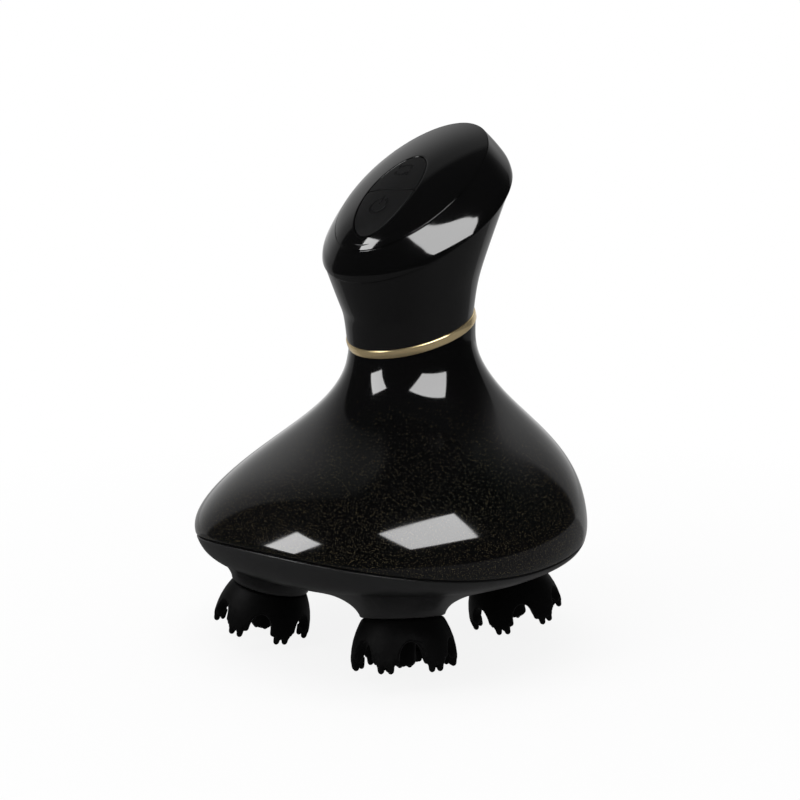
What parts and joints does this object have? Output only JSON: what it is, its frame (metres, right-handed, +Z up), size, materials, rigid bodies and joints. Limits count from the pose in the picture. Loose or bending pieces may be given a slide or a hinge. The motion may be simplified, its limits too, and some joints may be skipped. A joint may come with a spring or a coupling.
{
  "type": "electric scalp massager",
  "caption": "Handheld electric scalp massager: bell-shaped base on turning silicone claws, leaning neck with a gold ring, pebble-shaped head with an oval key pad.",
  "frame": {"origin": "on the floor under the middle of the base, where the lowest claw tips stand", "axes": "+Z up, the key pad and the sloping front of the head face -Y, +X to the right of someone who looks at the key pad"},
  "size_m": [0.1048, 0.0958, 0.1378],
  "materials": {
    "shell_gloss": "polished black",
    "cover_satin": "satin black",
    "gold_trim": "polished pale gold plating",
    "claw_silicone": "matte black silicone",
    "key_silicone": "matte dark grey silicone",
    "hub_plastic": "satin black",
    "seal_rubber": "matte",
    "inner_plastic": "matte dark grey",
    "gear_nylon": "white nylon",
    "shaft_steel": "ground",
    "bush_bronze": "sintered bronze",
    "motor_steel": "rolled steel",
    "cell_wrap": "shrink wrap",
    "board_green": "solder mask",
    "switch_black": "moulded",
    "contact_gold": "gold plated"
  },
  "bodies": {
    "housing": {"base_shell": "shell_gloss", "base_cover": "cover_satin", "rim_seal": "seal_rubber", "trim_ring": "gold_trim", "handle_sleeve": "shell_gloss", "head_band": "shell_gloss", "head_cap": "shell_gloss", "keypad_frame": "inner_plastic", "control_board": "board_green", "tact_switches": "switch_black", "battery_holder": "inner_plastic", "battery_cell": "cell_wrap", "motor_can": "motor_steel", "gear_plate": "inner_plastic", "drive_bushes": "bush_bronze", "reduction_axle": "shaft_steel", "charge_contacts": "contact_gold", "cover_screws": "shaft_steel", "plate_screws": "shaft_steel", "shaft_seal_front_left": "seal_rubber", "spindle_bush_front_left": "bush_bronze", "shaft_seal_front_right": "seal_rubber", "spindle_bush_front_right": "bush_bronze", "shaft_seal_back_right": "seal_rubber", "spindle_bush_back_right": "bush_bronze", "shaft_seal_back_left": "seal_rubber", "spindle_bush_back_left": "bush_bronze"},
    "drive_train": {"drive_gear": "gear_nylon", "sun_gear": "gear_nylon", "drive_shaft": "shaft_steel"},
    "reduction": {"reduction_gear": "gear_nylon"},
    "motor_rotor": {"motor_shaft": "shaft_steel", "motor_pinion": "gear_nylon"},
    "power_key": {"power_key": "key_silicone"},
    "mode_key": {"mode_key": "key_silicone"},
    "head_front_left": {"claw_front_left": "claw_silicone", "claw_hub_front_left": "hub_plastic", "spindle_front_left": "shaft_steel", "head_gear_front_left": "gear_nylon"},
    "head_front_right": {"claw_front_right": "claw_silicone", "claw_hub_front_right": "hub_plastic", "spindle_front_right": "shaft_steel", "head_gear_front_right": "gear_nylon"},
    "head_back_right": {"claw_back_right": "claw_silicone", "claw_hub_back_right": "hub_plastic", "spindle_back_right": "shaft_steel", "head_gear_back_right": "gear_nylon"},
    "head_back_left": {"claw_back_left": "claw_silicone", "claw_hub_back_left": "hub_plastic", "spindle_back_left": "shaft_steel", "head_gear_back_left": "gear_nylon"}
  },
  "joints": [
    {"name": "drive_spin", "type": "hinge", "parent": "housing", "child": "drive_train", "pos_m": [0, 0, 0.03], "axis": [0, 0, 1], "continuous": true},
    {"name": "head_spin_front_left", "type": "hinge", "parent": "housing", "child": "head_front_left", "pos_m": [-0.0247, -0.0247, 0.00289], "axis": [0.1675, 0.1675, 0.9715], "continuous": true},
    {"name": "head_spin_front_right", "type": "hinge", "parent": "housing", "child": "head_front_right", "pos_m": [0.0247, -0.0247, 0.00289], "axis": [-0.1675, 0.1675, 0.9715], "continuous": true},
    {"name": "head_spin_back_right", "type": "hinge", "parent": "housing", "child": "head_back_right", "pos_m": [0.0247, 0.0247, 0.00289], "axis": [-0.1675, -0.1675, 0.9715], "continuous": true},
    {"name": "head_spin_back_left", "type": "hinge", "parent": "housing", "child": "head_back_left", "pos_m": [-0.0247, 0.0247, 0.00289], "axis": [0.1675, -0.1675, 0.9715], "continuous": true},
    {"name": "reduction_spin", "type": "hinge", "parent": "housing", "child": "reduction", "pos_m": [0, 0.024, 0.034], "axis": [0, 0, 1], "continuous": true},
    {"name": "motor_spin", "type": "hinge", "parent": "housing", "child": "motor_rotor", "pos_m": [0, 0.009, 0.036], "axis": [0, 0, 1], "continuous": true},
    {"name": "power_key_press", "type": "slide", "parent": "housing", "child": "power_key", "axis": [0, 0.6428, -0.766], "range_m": [0, 0.0005], "stiffness_N_per_m": 2400, "springref_m": -0.0001},
    {"name": "mode_key_press", "type": "slide", "parent": "housing", "child": "mode_key", "axis": [0, 0.6428, -0.766], "range_m": [0, 0.0005], "stiffness_N_per_m": 2400, "springref_m": -0.0001}
  ],
  "couplings": [
    {"joint": "head_spin_front_left", "follows": "drive_spin", "ratio": -0.83333},
    {"joint": "head_spin_front_right", "follows": "drive_spin", "ratio": -0.83333},
    {"joint": "head_spin_back_right", "follows": "drive_spin", "ratio": -0.83333},
    {"joint": "head_spin_back_left", "follows": "drive_spin", "ratio": -0.83333},
    {"joint": "reduction_spin", "follows": "drive_spin", "ratio": -4},
    {"joint": "motor_spin", "follows": "drive_spin", "ratio": 16}
  ]
}
